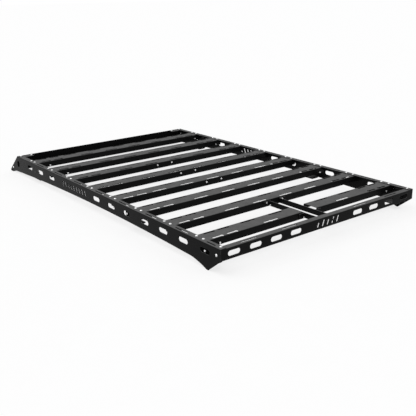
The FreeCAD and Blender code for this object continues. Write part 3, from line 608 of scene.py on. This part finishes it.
def set_on_places(bench, given, fastener):
    """Ends a fastener tree: one fastener on each point, facing the way that the point says."""
    facing = bench.add("GeometryNodeInputNamedAttribute", {"Name": "facing"}, data_type="FLOAT_VECTOR")
    upright = bench.add("FunctionNodeAlignRotationToVector", {
        "Vector": facing.outputs["Attribute"]}, axis="Z")
    spin = bench.add("FunctionNodeRandomValue", {
        "Min": 0.0, "Max": math.tau, "Seed": given.outputs["Spin Seed"]}, data_type="FLOAT")
    spin_value = next(socket for socket in spin.outputs if socket.type == "VALUE")
    spin_axis = bench.add("ShaderNodeCombineXYZ", {"Z": spin_value})
    spin_turn = bench.add("FunctionNodeEulerToRotation", {"Euler": spin_axis.outputs["Vector"]})
    turned = bench.add("FunctionNodeRotateRotation", {
        "Rotation": upright.outputs["Rotation"], "Rotate By": spin_turn.outputs["Rotation"]},
        rotation_space="LOCAL")
    placed = bench.add("GeometryNodeInstanceOnPoints", {
        "Points": given.outputs["Places"], "Instance": fastener, "Rotation": turned.outputs["Rotation"]})
    realized = bench.add("GeometryNodeRealizeInstances", {"Geometry": placed.outputs["Instances"]})
    finished = bench.add("GeometryNodeSetMaterial", {
        "Geometry": realized.outputs["Geometry"], "Material": given.outputs["Finish"]})
    bench.add("NodeGroupOutput", {"Fasteners": finished.outputs["Geometry"]})


def joined(bench, *shapes):
    """The shapes as one geometry."""
    node = bench.add("GeometryNodeJoinGeometry")
    for shape in shapes:
        bench.tree.links.new(shape, node.inputs["Geometry"])
    return node.outputs["Geometry"]


SCREW_SIZES = ("Head Radius", "Head Height", "Socket Radius", "Washer Radius", "Washer Thickness")
BOLT_SIZES = ("Head Radius", "Head Height", "Flange Radius", "Flange Height")


def domed_screw_tree():
    """Domed screw with a six-sided socket, on a washer."""
    tree, bench, given = fastener_tree("Domed Screw", SCREW_SIZES)
    radius, height, socket_radius, washer_radius, washer = (given.outputs[label] for label in SCREW_SIZES)
    ball = bench.add("GeometryNodeMeshUVSphere", {
        "Segments": DOME_SEGMENTS, "Rings": DOME_RINGS, "Radius": 1.0})
    span = bench.add("ShaderNodeCombineXYZ", {"X": radius, "Y": radius, "Z": height})
    squashed = bench.add("GeometryNodeTransform", {
        "Geometry": ball.outputs["Mesh"], "Scale": span.outputs["Vector"]})
    where = bench.add("ShaderNodeSeparateXYZ", {
        "Vector": bench.add("GeometryNodeInputPosition").outputs["Position"]})
    flat_below = bench.add("ShaderNodeCombineXYZ", {
        "X": where.outputs["X"], "Y": where.outputs["Y"],
        "Z": bench.math("MAXIMUM", where.outputs["Z"], 0.0)})
    dome = bench.add("GeometryNodeSetPosition", {
        "Geometry": squashed.outputs["Geometry"], "Position": flat_below.outputs["Vector"]})
    key = bench.add("GeometryNodeMeshCylinder", {
        "Vertices": 6, "Radius": socket_radius,
        "Depth": bench.math("MULTIPLY", height, 2 * SOCKET_DEPTH_SHARE)})
    head = bench.add("GeometryNodeMeshBoolean", operation="DIFFERENCE")
    bench.join(dome.outputs["Geometry"], head.inputs["Mesh 1"])
    bench.join(raised(bench, key.outputs["Mesh"], height), head.inputs["Mesh 2"])
    disc = bench.add("GeometryNodeMeshCylinder", {
        "Vertices": DISC_SEGMENTS, "Radius": washer_radius, "Depth": washer})
    screw = joined(bench, raised(bench, head.outputs["Mesh"], washer),
                   raised(bench, disc.outputs["Mesh"], bench.math("MULTIPLY", washer, 0.5)))
    set_on_places(bench, given, screw)
    return tree


def flange_bolt_tree():
    """Six-sided bolt head with a chamfered top, on a sloped flange."""
    tree, bench, given = fastener_tree("Flange Bolt", BOLT_SIZES)
    radius, height, flange_radius, flange = (given.outputs[label] for label in BOLT_SIZES)
    skirt = bench.add("GeometryNodeMeshCone", {
        "Vertices": DISC_SEGMENTS, "Radius Top": bench.math("MULTIPLY", flange_radius, FLANGE_TOP_SHARE),
        "Radius Bottom": flange_radius, "Depth": flange})
    hexagon = bench.add("GeometryNodeMeshCylinder", {
        "Vertices": 6, "Side Segments": 2, "Radius": radius, "Depth": height})
    where = bench.add("ShaderNodeSeparateXYZ", {
        "Vector": bench.add("GeometryNodeInputPosition").outputs["Position"]})
    half_height = bench.math("MULTIPLY", height, 0.5)
    # The level is -1 at the foot of the head, 0 at its middle ring and 1 at its top.
    level = bench.math("DIVIDE", where.outputs["Z"], half_height)
    narrowing = bench.ramp(level, 0.0, 1.0, 1.0, CHAMFER_TOP_SHARE)
    middle_ring = bench.math("SUBTRACT", 1.0, bench.math("ABSOLUTE", level))
    ring_rise = bench.math("MULTIPLY", height, CHAMFER_START_SHARE - 0.5)
    chamfered = bench.add("ShaderNodeCombineXYZ", {
        "X": bench.math("MULTIPLY", where.outputs["X"], narrowing),
        "Y": bench.math("MULTIPLY", where.outputs["Y"], narrowing),
        "Z": bench.math("ADD", where.outputs["Z"], bench.math("MULTIPLY", middle_ring, ring_rise))})
    head = bench.add("GeometryNodeSetPosition", {
        "Geometry": hexagon.outputs["Mesh"], "Position": chamfered.outputs["Vector"]})
    bolt = joined(bench, skirt.outputs["Mesh"],
                  raised(bench, head.outputs["Geometry"], bench.math("ADD", flange, half_height)))
    set_on_places(bench, given, bolt)
    return tree


def screw_sizes(fastener):
    return {
        "Head Radius": fastener.screw_head, "Head Height": fastener.screw_height,
        "Socket Radius": fastener.screw_socket, "Washer Radius": fastener.screw_washer,
        "Washer Thickness": fastener.washer_thickness,
    }


def bolt_sizes(fastener):
    return {
        "Head Radius": fastener.bolt_head, "Head Height": fastener.bolt_height,
        "Flange Radius": fastener.bolt_flange, "Flange Height": fastener.flange_height,
    }


TREE_MAKERS = {"Domed Screw": domed_screw_tree, "Flange Bolt": flange_bolt_tree}
TREE_SIZES = {"Domed Screw": screw_sizes, "Flange Bolt": bolt_sizes}


def place_mesh(name, places):
    """One vertex for each (point, facing) pair, with the facing as an attribute."""
    mesh = bpy.data.meshes.new(name)
    mesh.from_pydata([point for point, _ in places], [], [])
    facing = mesh.attributes.new("facing", "FLOAT_VECTOR", "POINT")
    for entry, (_, direction) in zip(facing.data, places):
        entry.vector = direction
    return mesh


def add_fasteners(context, name, kind, places, finish):
    """Sets fasteners on their places by the kind's node tree, as one piece with a plain mesh."""
    fastener = context.scene.rack_fasteners
    tree = bpy.data.node_groups.get(kind) or TREE_MAKERS[kind]()
    piece = bpy.data.objects.new(name, place_mesh(name, places))
    context.scene.collection.objects.link(piece)
    modifier = piece.modifiers.new(kind, "NODES")
    modifier.node_group = tree
    values = TREE_SIZES[kind](fastener)
    values["Spin Seed"] = fastener.spin_seed
    values["Finish"] = finish_material(context, finish)
    for socket in tree.interface.items_tree:
        if socket.in_out == "INPUT" and socket.name in values:
            modifier[socket.identifier] = values[socket.name]
    evaluated = piece.evaluated_get(context.evaluated_depsgraph_get())
    mesh = bpy.data.meshes.new_from_object(evaluated)
    piece.modifiers.remove(modifier)
    piece.data = mesh
    if not mesh.polygons:
        raise RuntimeError(f"{name}: the {kind} tree made no faces")
    mesh.name = name
    mesh.shade_smooth()
    mesh.set_sharp_from_angle(angle=SHARP_ANGLE)
    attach(piece, BODY)


def round_ended(middle, length, width, upright=False):
    """Outline of a plate with round ends about (y, z), anticlockwise seen from the right of the rack."""
    radius, reach = width / 2, (length - width) / 2
    outline = []
    for end, start in ((1, -0.5), (-1, 0.5)):
        for step in range(GROMMET_STEPS + 1):
            turn = math.pi * (start + step / GROMMET_STEPS)
            along, across = end * reach + radius * math.cos(turn), radius * math.sin(turn)
            outline.append((middle[0] - across, middle[1] + along) if upright
                           else (middle[0] + along, middle[1] + across))
    return outline


def plate_shell(outline, inner, outer, hand, start):
    """Points and faces of a flat plate on one side of the rack, from inner to outer along X."""
    count = len(outline)
    points = [(hand * x, y, z) for x in (inner, outer) for y, z in outline]
    near = [start + place for place in range(count)]
    far = [place + count for place in near]
    walls = [(far[place - 1], near[place - 1], near[place], far[place]) for place in range(count)]
    faces = [near[::-1], far, *walls]
    return points, [face if hand == RIGHT else face[::-1] for face in faces]


def middle_of(node):
    low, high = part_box(node)
    return (low + high) / 2


def on_both_sides(x, y, z, facing):
    """A place on the right of the rack and its mirror image on the left."""
    return [(Vector((hand * x, y, z)), Vector((hand * facing.x, facing.y, facing.z)))
            for hand in HANDS]


def foot_bolt_lines(fastener):
    """Y of the foot bolts that sit in side slots: rear feet, then middle feet."""
    return middle_of("right_rear_foot").y, middle_of("right_middle_foot").y + fastener.middle_foot_shift


def lay_floor(context, stage):
    """Pale floor that keeps the shadow, whitened for the rays that see it directly."""
    reach = stage.floor_reach
    corners = [(-reach, -reach, 0), (reach, -reach, 0), (reach, reach, 0), (-reach, reach, 0)]
    mesh = bpy.data.meshes.new("studio_floor")
    mesh.from_pydata(corners, [], [(0, 1, 2, 3)])
    floor = bpy.data.objects.new("studio_floor", mesh)
    context.scene.collection.objects.link(floor)
    material, bench, shader = new_material("studio_floor")
    grain = effect(bench, "Skin Grain", Grain_Size=0.4)
    body = mottled(bench, grain, stage.floor_color, paler(stage.floor_color, times=1.02))
    bench.join(body, shader.inputs["Base Color"])
    shader.inputs["Roughness"].default_value = 0.9
    shader.inputs["Specular IOR Level"].default_value = 0.0
    white = bench.add("ShaderNodeEmission", {"Color": rgba(WHITE), "Strength": 1.0})
    mixed = bench.add("ShaderNodeMixShader", {
        0: bench.math("MULTIPLY", seen_directly(bench), stage.floor_white),
        1: shader.outputs["BSDF"], 2: white.outputs["Emission"]})
    output = next(node for node in material.node_tree.nodes if node.type == "OUTPUT_MATERIAL")
    bench.join(mixed.outputs["Shader"], output.inputs["Surface"])
    mesh.materials.append(material)


def seen_directly(bench):
    """1 for camera, mirror and transmission rays, else 0."""
    path = bench.add("ShaderNodeLightPath")
    seen = bench.math("MAXIMUM", path.outputs["Is Camera Ray"], path.outputs["Is Glossy Ray"])
    return bench.math("MAXIMUM", seen, path.outputs["Is Transmission Ray"])


def light_world(context, stage):
    """Even light all round; the camera and mirror rays see plain white."""
    world = bpy.data.worlds.new("studio")
    world.use_nodes = True
    world.node_tree.nodes.clear()
    bench = NodeBench(world.node_tree)
    light = bench.add("ShaderNodeBackground", {"Color": rgba(WHITE), "Strength": stage.sky_light})
    white = bench.add("ShaderNodeBackground", {"Color": rgba(WHITE), "Strength": 1.0})
    mixed = bench.add("ShaderNodeMixShader", {
        0: seen_directly(bench), 1: light.outputs["Background"], 2: white.outputs["Background"]})
    bench.add("ShaderNodeOutputWorld", {"Surface": mixed.outputs["Shader"]})
    context.scene.world = world


def hang_key_light(context, stage):
    """One broad soft light from above."""
    lamp = bpy.data.lights.new("key_light", "SUN")
    lamp.energy = stage.key_strength
    lamp.angle = stage.key_spread
    piece = bpy.data.objects.new("key_light", lamp)
    context.scene.collection.objects.link(piece)
    piece.rotation_euler = Vector(stage.key_toward).to_track_quat("Z", "Y").to_euler()


def stand_camera(context, stage):
    """The camera, turned by azimuth, elevation and roll."""
    azimuth, elevation, roll = stage.camera_azimuth, stage.camera_elevation, stage.camera_roll
    back = Vector((math.sin(azimuth) * math.cos(elevation),
                   -math.cos(azimuth) * math.cos(elevation), math.sin(elevation)))
    level = (-back).cross(UP).normalized()
    upright = level.cross(-back)
    right = math.cos(roll) * level + math.sin(roll) * upright
    up = math.cos(roll) * upright - math.sin(roll) * level
    data = bpy.data.cameras.new("photo_camera")
    data.sensor_width = SENSOR_WIDTH_MM
    data.lens = stage.camera_lens
    camera = bpy.data.objects.new("photo_camera", data)
    context.scene.collection.objects.link(camera)
    turn = Matrix((right, up, back)).transposed().to_4x4()
    camera.matrix_world = Matrix.Translation(stage.camera_place) @ turn
    context.scene.camera = camera


class RACK_OT_coat_sheet(bpy.types.Operator):
    """Give the folded sheet pieces their satin powder coat"""

    bl_idname = "rack.coat_sheet"
    bl_label = "Coat Sheet Pieces"

    def execute(self, context):
        wear_finish(context, SHEET_PIECES, "satin_powder_coat")
        return {"FINISHED"}


class RACK_OT_finish_pads(bpy.types.Operator):
    """Give the foot pads their moulded rubber"""

    bl_idname = "rack.finish_pads"
    bl_label = "Finish Foot Pads"

    def execute(self, context):
        wear_finish(context, PADS, "moulded_rubber")
        return {"FINISHED"}


class RACK_OT_add_rail_screws(bpy.types.Operator):
    """Set the domed screws along the rails and on the tabs of the fairing"""

    bl_idname = "rack.add_rail_screws"
    bl_label = "Add Rail Screws"

    def execute(self, context):
        fastener = context.scene.rack_fasteners
        reach = OUTER_FACE - fastener.rail_inset
        places = on_both_sides(reach, REAR_FACE + fastener.rail_end_inset, RAIL_TOP, UP)
        for bar in (*WHOLE_BARS, HALF_BAR):
            for side in (1, -1):
                line = middle_of(bar).y + side * fastener.rail_half_pitch
                places += on_both_sides(reach, line, RAIL_TOP, UP)
        tab_line = NOSE - fastener.tab_screw_setback
        places += on_both_sides(reach, tab_line, RAIL_TOP, UP)
        places += on_both_sides(reach - fastener.tab_screw_pitch, tab_line, BAR_TOP, UP)
        add_fasteners(context, "rail_screws", "Domed Screw", places, "bright_zinc_plating")
        return {"FINISHED"}


class RACK_OT_add_side_screws(bpy.types.Operator):
    """Set the domed screws that hold the rear plate and the fairing between the side plates"""

    bl_idname = "rack.add_side_screws"
    bl_label = "Add Side Screws"

    def execute(self, context):
        fastener = context.scene.rack_fasteners
        places = on_both_sides(OUTER_FACE, REAR_FACE + fastener.side_screw_inset,
                               RAIL_TOP - fastener.side_screw_drop, SIDEWARD)
        places += on_both_sides(OUTER_FACE, NOSE - fastener.nose_screw_setback,
                                fastener.nose_screw_height, SIDEWARD)
        add_fasteners(context, "side_screws", "Domed Screw", places, "bright_zinc_plating")
        return {"FINISHED"}


class RACK_OT_add_bar_bolts(bpy.types.Operator):
    """Set the flange bolts in the rear faces of the bars and inside the side plates near the nose"""

    bl_idname = "rack.add_bar_bolts"
    bl_label = "Add Bar Bolts"

    def execute(self, context):
        fastener = context.scene.rack_fasteners
        places = []
        for bar in BARS_WITH_MIDDLE_BOLTS:
            places += on_both_sides(fastener.middle_bolt_reach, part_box(bar)[0].y,
                                    BAR_TOP - fastener.middle_bolt_drop, REARWARD)
        ends = [(-fastener.left_bolt_reach, bar) for bar in BARS_WITH_LEFT_BOLTS]
        ends += [(fastener.right_bolt_reach, bar) for bar in BARS_WITH_RIGHT_BOLTS]
        for reach, bar in ends:
            x = reach - fastener.half_bolt_shift if bar == HALF_BAR else reach
            places.append((Vector((x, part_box(bar)[0].y, BAR_TOP - fastener.end_bolt_drop)), REARWARD))
        places += on_both_sides(OUTER_FACE - GAUGE, NOSE - fastener.nose_bolt_setback,
                                fastener.nose_bolt_height, -SIDEWARD)
        add_fasteners(context, "bar_bolts", "Flange Bolt", places, "bright_zinc_plating")
        return {"FINISHED"}


class RACK_OT_add_gap_bolts(bpy.types.Operator):
    """Set the flange bolts on the tabs and walls of the two gap channels"""

    bl_idname = "rack.add_gap_bolts"
    bl_label = "Add Gap Bolts"

    def execute(self, context):
        fastener = context.scene.rack_fasteners
        tab_bolt = BAR_TOP - fastener.middle_bolt_drop
        wall_bolt = BAR_TOP - fastener.gap_bolt_drop
        wall = GAP_LOW.x + GAUGE
        places = on_both_sides(fastener.middle_bolt_reach, GAP_HIGH.y - GAUGE, tab_bolt, REARWARD)
        places += on_both_sides(wall, GAP_HIGH.y - fastener.gap_bolt_inset, wall_bolt, SIDEWARD)
        places += on_both_sides(fastener.inner_bolt_reach, HALF_BAR_REAR - GAUGE,
                                BAR_TOP - fastener.end_bolt_drop, REARWARD)
        add_fasteners(context, "gap_bolts", "Flange Bolt", places, "bright_zinc_plating")
        return {"FINISHED"}


class RACK_OT_add_foot_bolts(bpy.types.Operator):
    """Set the bolts that hold the feet: plated ones in the side slots, black ones at the front"""

    bl_idname = "rack.add_foot_bolts"
    bl_label = "Add Foot Bolts"

    def execute(self, context):
        fastener = context.scene.rack_fasteners
        places = []
        for middle in foot_bolt_lines(fastener):
            places += on_both_sides(OUTER_FACE - GAUGE + fastener.grommet_thickness, middle,
                                    fastener.foot_bolt_height, SIDEWARD)
        add_fasteners(context, "foot_bolts", "Flange Bolt", places, "bright_zinc_plating")
        places = on_both_sides(OUTER_FACE, middle_of("right_front_foot").y,
                               fastener.front_foot_bolt_height, SIDEWARD)
        add_fasteners(context, "front_foot_bolts", "Flange Bolt", places, "blackened_steel")
        return {"FINISHED"}


class RACK_OT_add_grommets(bpy.types.Operator):
    """Set the black grommets under the foot bolts and near the nose"""

    bl_idname = "rack.add_grommets"
    bl_label = "Add Grommets"

    def execute(self, context):
        fastener = context.scene.rack_fasteners
        width, thickness = fastener.slot_grommet_width, fastener.grommet_thickness
        rear, middle = foot_bolt_lines(fastener)
        seat = OUTER_FACE - GAUGE
        plates = [
            (round_ended((rear, fastener.foot_bolt_height), fastener.slot_grommet_length, width),
             seat),
            (round_ended((middle, fastener.foot_bolt_height), fastener.middle_grommet_length, width),
             seat),
            (round_ended((NOSE - fastener.nose_bolt_setback, fastener.nose_grommet_height),
                         fastener.nose_grommet_length, width, upright=True), OUTER_FACE),
        ]
        points, faces = [], []
        for outline, inner in plates:
            for hand in HANDS:
                shell = plate_shell(outline, inner, inner + thickness, hand, start=len(points))
                points += shell[0]
                faces += shell[1]
        mesh = bpy.data.meshes.new("grommets")
        mesh.from_pydata(points, [], faces)
        mesh.materials.append(finish_material(context, "soft_black_rubber"))
        mesh.shade_smooth()
        mesh.set_sharp_from_angle(angle=SHARP_ANGLE)
        piece = bpy.data.objects.new("grommets", mesh)
        context.scene.collection.objects.link(piece)
        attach(piece, BODY)
        return {"FINISHED"}


class RACK_OT_lay_stage(bpy.types.Operator):
    """Lay the pale floor, the soft studio light and the camera"""

    bl_idname = "rack.lay_stage"
    bl_label = "Lay Stage"

    def execute(self, context):
        stage = context.scene.rack_stage
        lay_floor(context, stage)
        light_world(context, stage)
        hang_key_light(context, stage)
        stand_camera(context, stage)
        context.scene.view_settings.view_transform = "Standard"
        return {"FINISHED"}


class RACK_PT_dressing(bpy.types.Panel):
    """Lists the rack's settings and the steps that dress it"""

    bl_idname = "RACK_PT_dressing"
    bl_label = "Roof Rack"
    bl_space_type = "VIEW_3D"
    bl_region_type = "UI"
    bl_category = "Roof Rack"

    def draw(self, context):
        scene = context.scene
        for settings in (scene.rack_finish, scene.rack_fasteners, scene.rack_stage):
            box = self.layout.box()
            for name in settings.bl_rna.properties.keys():
                if name not in {"rna_type", "name"}:
                    box.prop(settings, name)
        for operator in OPERATORS:
            self.layout.operator(operator.bl_idname)


OPERATORS = (
    RACK_OT_coat_sheet,
    RACK_OT_finish_pads,
    RACK_OT_add_rail_screws,
    RACK_OT_add_side_screws,
    RACK_OT_add_bar_bolts,
    RACK_OT_add_gap_bolts,
    RACK_OT_add_foot_bolts,
    RACK_OT_add_grommets,
    RACK_OT_lay_stage,
)
SETTINGS = {
    "rack_finish": RackFinishSettings,
    "rack_fasteners": RackFastenerSettings,
    "rack_stage": RackStageSettings,
}


def register():
    for settings in SETTINGS.values():
        bpy.utils.register_class(settings)
    for operator in OPERATORS:
        bpy.utils.register_class(operator)
    bpy.utils.register_class(RACK_PT_dressing)
    for name, settings in SETTINGS.items():
        setattr(bpy.types.Scene, name, PointerProperty(type=settings))


def unregister():
    for name in SETTINGS:
        delattr(bpy.types.Scene, name)
    bpy.utils.unregister_class(RACK_PT_dressing)
    for operator in reversed(OPERATORS):
        bpy.utils.unregister_class(operator)
    for settings in SETTINGS.values():
        bpy.utils.unregister_class(settings)


def main():
    register()
    bpy.ops.rack.coat_sheet()
    bpy.ops.rack.finish_pads()
    bpy.ops.rack.add_rail_screws()
    bpy.ops.rack.add_side_screws()
    bpy.ops.rack.add_bar_bolts()
    bpy.ops.rack.add_gap_bolts()
    bpy.ops.rack.add_foot_bolts()
    bpy.ops.rack.add_grommets()
    bpy.ops.rack.lay_stage()


if __name__ == "__main__":
    main()
